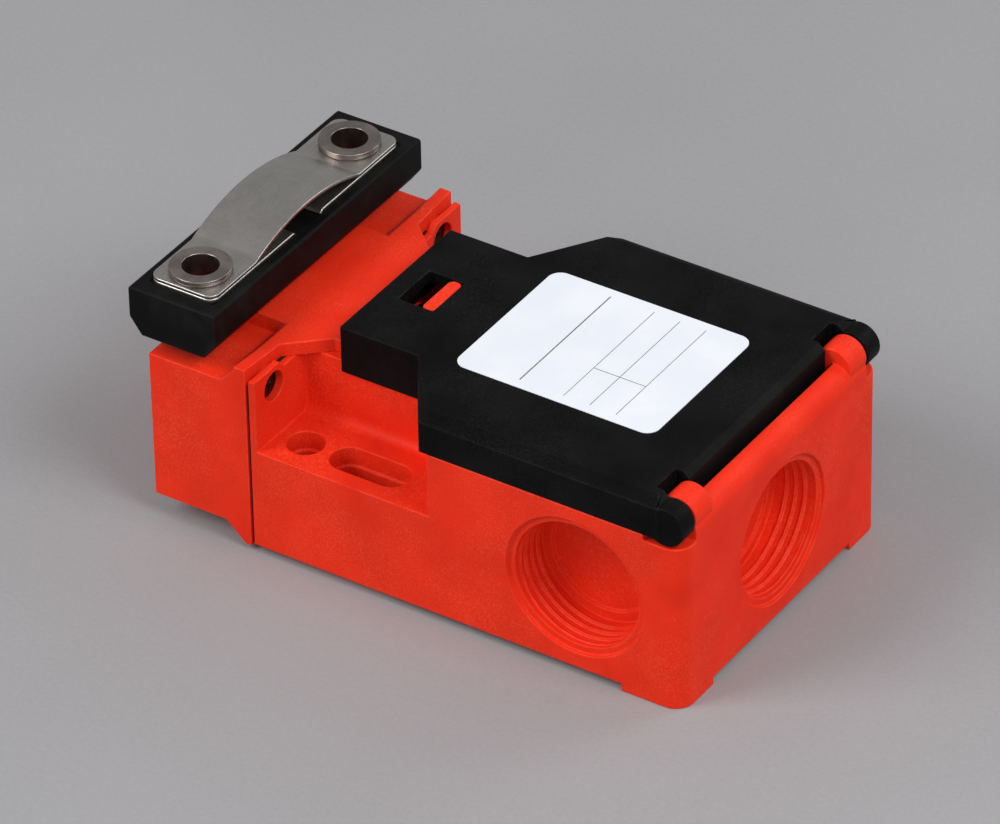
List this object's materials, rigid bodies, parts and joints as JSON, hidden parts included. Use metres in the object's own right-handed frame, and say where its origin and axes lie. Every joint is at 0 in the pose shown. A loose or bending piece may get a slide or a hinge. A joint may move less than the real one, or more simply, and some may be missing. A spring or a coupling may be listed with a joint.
{
  "type": "tongue interlock switch",
  "caption": "Boxy safety interlock switch with a hinged cover, threaded conduit entries and a coded tongue actuator that turns a cam and opens the contacts.",
  "frame": {"origin": "midway between the two round fixing holes, on the mounting plane", "axes": "+X towards the conduit end, +Z out of the mounting plane, Y across the two fixing holes"},
  "size_m": [0.0906, 0.052, 0.0417],
  "materials": {
    "housing_plastic": "moulded satin",
    "cover_plastic": "moulded satin",
    "actuator_rubber": "moulded matte",
    "seal_rubber": "matte",
    "label_film": "satin film",
    "strip_steel": "rolled",
    "bush_steel": "turned",
    "screw_steel": "zinc plated",
    "spring_steel": "drawn",
    "insert_plastic": "moulded matte",
    "cam_plastic": "moulded matte",
    "contact_brass": "stamped"
  },
  "bodies": {
    "switch_base": {"body_housing": "housing_plastic", "head_housing": "housing_plastic", "head_gasket": "seal_rubber", "plunger_seal": "seal_rubber", "head_screws": "screw_steel", "cam_carrier": "insert_plastic", "contact_block": "insert_plastic", "contact_block_lid": "insert_plastic", "terminal_nc_a": "contact_brass", "terminal_nc_b": "contact_brass", "terminal_no_a": "contact_brass", "terminal_no_b": "contact_brass", "terminal_screws": "screw_steel", "clamp_washers": "screw_steel", "block_screws": "screw_steel", "return_spring": "spring_steel"},
    "cover_lid": {"cover": "cover_plastic", "cover_gasket": "seal_rubber", "type_label": "label_film"},
    "actuator": {"actuator_block": "actuator_rubber", "actuator_tongue": "strip_steel", "actuator_bow": "strip_steel", "actuator_bush_left": "bush_steel", "actuator_bush_right": "bush_steel"},
    "cam": {"cam_shaft": "screw_steel", "cam_disc_centre": "cam_plastic", "cam_disc_left": "cam_plastic", "cam_disc_right": "cam_plastic"},
    "plunger_slide_group": {"plunger": "cam_plastic", "contact_carrier": "cam_plastic", "nc_bridge": "contact_brass", "no_bridge": "contact_brass", "nc_contact_spring": "spring_steel", "no_contact_spring": "spring_steel"}
  },
  "joints": [
    {"name": "actuator_pull", "type": "slide", "parent": "switch_base", "child": "actuator", "axis": [0, 0, 1], "range_m": [0, 0.017]},
    {"name": "cam_turn", "type": "hinge", "parent": "switch_base", "child": "cam", "pos_m": [-0.0134, 0, 0.017], "axis": [0, 1, 0], "range_deg": [0, 153]},
    {"name": "plunger_slide", "type": "slide", "parent": "switch_base", "child": "plunger_slide_group", "axis": [1, 0, 0], "range_m": [0, 0.0024], "deforming": ["return_spring"]},
    {"name": "cover_hinge", "type": "hinge", "parent": "switch_base", "child": "cover_lid", "pos_m": [0.0621, 0, 0.0303], "axis": [0, 1, 0], "range_deg": [0, 95]}
  ],
  "couplings": [
    {"joint": "cam_turn", "follows": "actuator_pull", "rad_per_m": 157.08},
    {"joint": "plunger_slide", "follows": "actuator_pull", "ratio": 0.14117}
  ]
}
